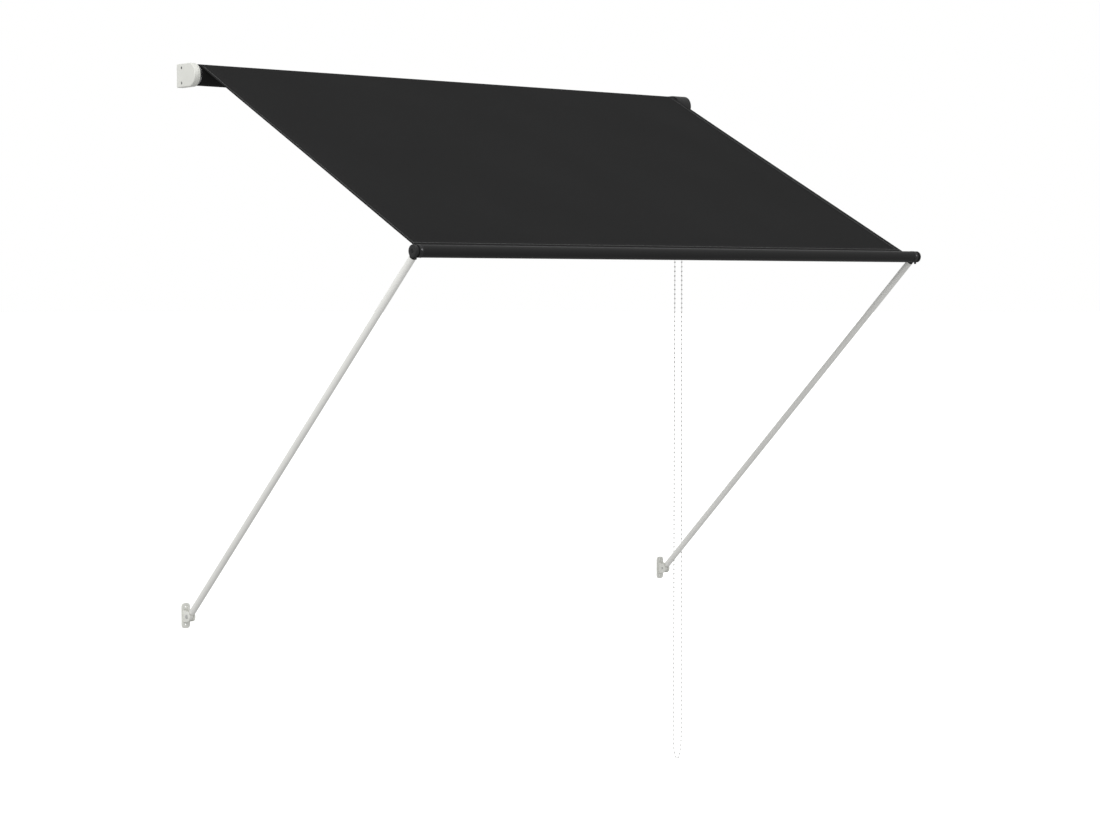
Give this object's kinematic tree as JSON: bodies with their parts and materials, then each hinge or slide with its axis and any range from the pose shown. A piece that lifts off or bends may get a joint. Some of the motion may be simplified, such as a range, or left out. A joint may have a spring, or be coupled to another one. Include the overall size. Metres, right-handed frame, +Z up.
{
  "type": "window awning",
  "caption": "Drop-arm window awning: cloth wound on a chain-driven roller, let out by two swinging arms and a round front bar.",
  "frame": {"origin": "centre of the left roller bracket's wall face, at the height of the roller's axis", "axes": "+X along the roller to the drive end, +Y into the wall, +Z up; the wall is the plane Y = 0"},
  "size_m": [1.5118, 0.9043, 1.7588],
  "materials": {
    "powder_coat_white": "fine satin powder coat",
    "arm_lacquer": "smooth satin lacquer on drawn tube",
    "anthracite_cloth": "matt woven awning cloth",
    "anthracite_lacquer": "satin lacquer",
    "black_plastic": "finely textured moulding",
    "roller_aluminium": "mill finish",
    "screw_steel": "dull zinc",
    "chain_plastic": "moulded beads"
  },
  "bodies": {
    "root": {"roller_bracket_left": "powder_coat_white", "bracket_cover_left": "powder_coat_white", "cover_screw_left_upper": "screw_steel", "cover_screw_left_lower": "screw_steel", "idle_pin_left": "screw_steel", "roller_bracket_right": "black_plastic", "chain_cover_right": "black_plastic", "cover_screw_right_upper": "screw_steel", "cover_screw_right_lower": "screw_steel", "clutch_hub_right": "screw_steel", "arm_bracket_left": "powder_coat_white", "arm_pivot_pin_left": "screw_steel", "arm_bracket_right": "powder_coat_white", "arm_pivot_pin_right": "screw_steel", "bead_chain": "chain_plastic"},
    "roller": {"roller_tube": "roller_aluminium", "cloth_roll": "anthracite_cloth", "roller_plug_left": "black_plastic", "roller_plug_right": "black_plastic", "chain_wheel_right": "black_plastic"},
    "left_arm": {"arm_tube_left": "arm_lacquer", "arm_foot_left": "arm_lacquer", "arm_head_left": "black_plastic"},
    "right_arm": {"arm_tube_right": "arm_lacquer", "arm_foot_right": "arm_lacquer", "arm_head_right": "black_plastic"},
    "front_bar": {"front_bar_tube": "anthracite_lacquer", "cloth_edge_cord": "anthracite_cloth", "bar_end_plug_left": "black_plastic", "collar_screw_left": "screw_steel", "bar_end_cap_left": "black_plastic", "cap_screw_left": "screw_steel", "bar_end_plug_right": "black_plastic", "collar_screw_right": "screw_steel", "bar_end_cap_right": "black_plastic", "cap_screw_right": "screw_steel"},
    "canopy": {"canopy_cloth": "anthracite_cloth"}
  },
  "joints": [
    {"name": "left_arm_pivot", "type": "hinge", "parent": "root", "child": "left_arm", "pos_m": [0.003, -0.0196, -1.222], "axis": [1, 0, 0], "range_deg": [-41.75, 28.25]},
    {"name": "right_arm_pivot", "type": "hinge", "parent": "root", "child": "right_arm", "pos_m": [1.463, -0.0196, -1.222], "axis": [1, 0, 0], "range_deg": [-42.5, 29]},
    {"name": "front_bar_turn", "type": "hinge", "parent": "left_arm", "child": "front_bar", "pos_m": [0.003, -0.89037, -0.40286], "axis": [1, 0, 0], "range_deg": [-17.5, 25.5]},
    {"name": "canopy_slide", "type": "slide", "parent": "front_bar", "child": "canopy", "axis": [0, 0.8899, 0.4562], "range_m": [-0.83, 0.57], "deforming": ["canopy_cloth"]},
    {"name": "roller_turn", "type": "hinge", "parent": "root", "child": "roller", "pos_m": [0, -0.052, 0], "axis": [1, 0, 0], "range_deg": [-2000, 1360]}
  ],
  "couplings": [
    {"joint": "right_arm_pivot", "follows": "left_arm_pivot", "ratio": 1},
    {"joint": "front_bar_turn", "follows": "left_arm_pivot", "ratio": -0.595},
    {"joint": "canopy_slide", "follows": "left_arm_pivot", "m_per_rad": 1.125},
    {"joint": "roller_turn", "follows": "left_arm_pivot", "ratio": 47.7}
  ]
}
